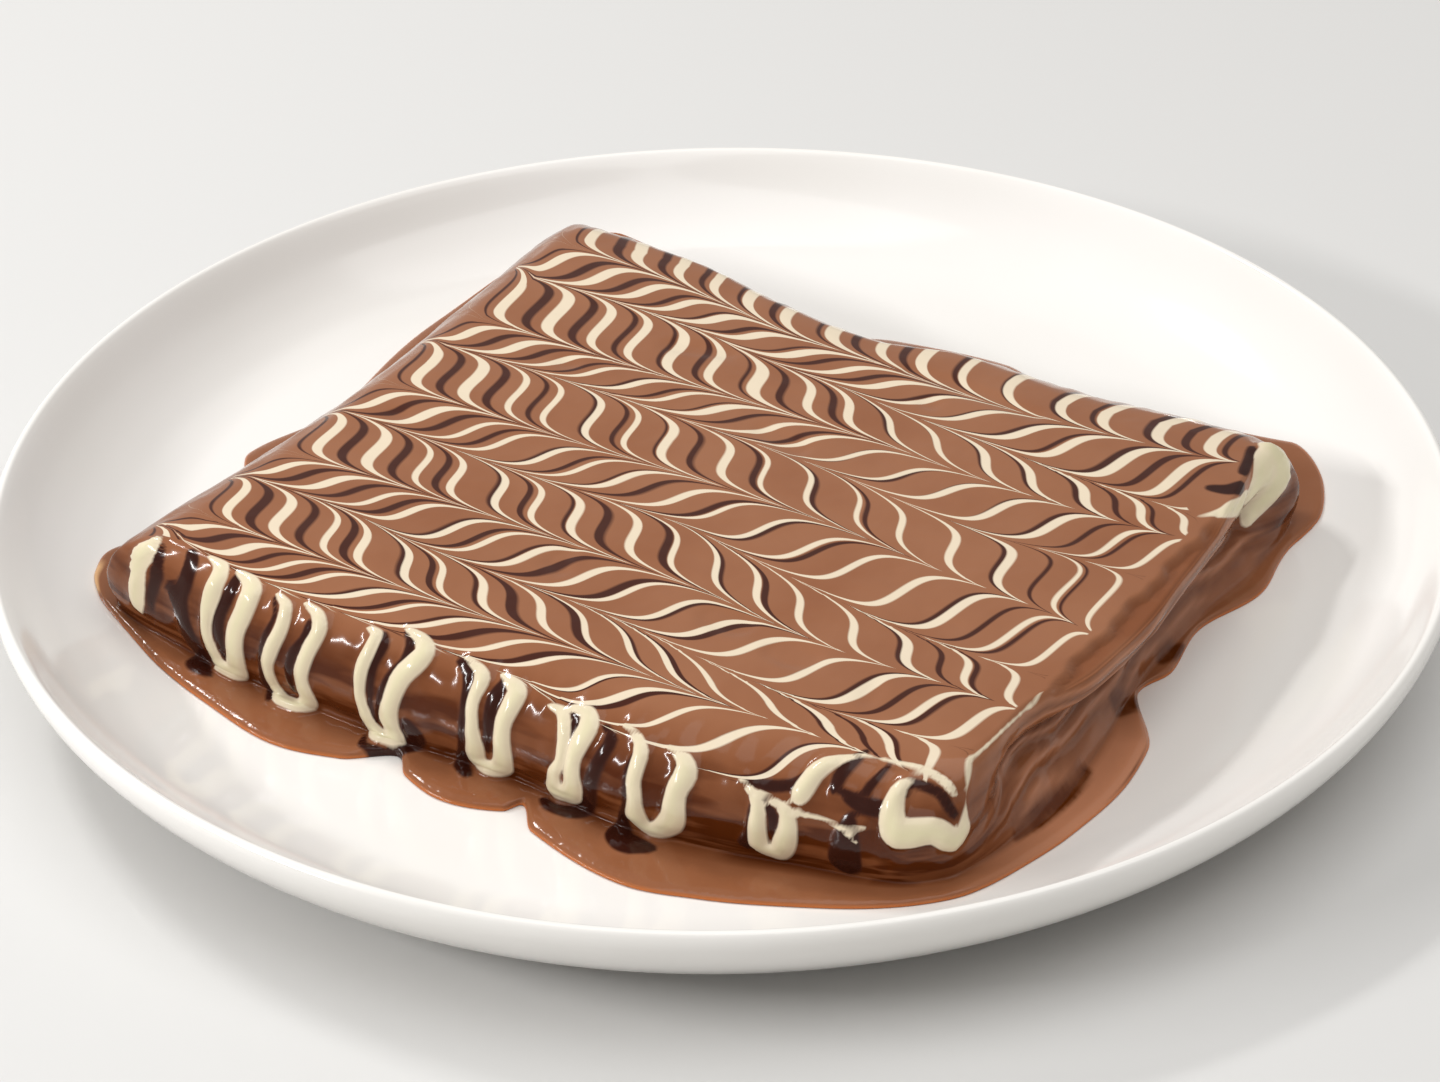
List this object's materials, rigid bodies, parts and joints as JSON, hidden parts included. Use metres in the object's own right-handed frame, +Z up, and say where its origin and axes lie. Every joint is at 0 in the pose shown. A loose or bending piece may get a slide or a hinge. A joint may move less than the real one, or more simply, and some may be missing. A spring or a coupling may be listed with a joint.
{
  "type": "chocolate crepe on a plate",
  "caption": "Folded crepe coated in milk chocolate with feathered white and dark chocolate lines, in a pool of sauce on a round white coupe plate.",
  "frame": {"origin": "on the table under the plate's centre", "axes": "+Z up, X along the folded crepe's length, -Y towards its dripping front side"},
  "size_m": [0.2716, 0.2716, 0.0304],
  "materials": {
    "glaze": "white glazed porcelain",
    "crepe": "baked crepe",
    "milk_chocolate": "glossy chocolate sauce"
  },
  "bodies": {
    "root": {"plate": "glaze", "crepe": "crepe", "chocolate_coat": "milk_chocolate"}
  },
  "joints": []
}
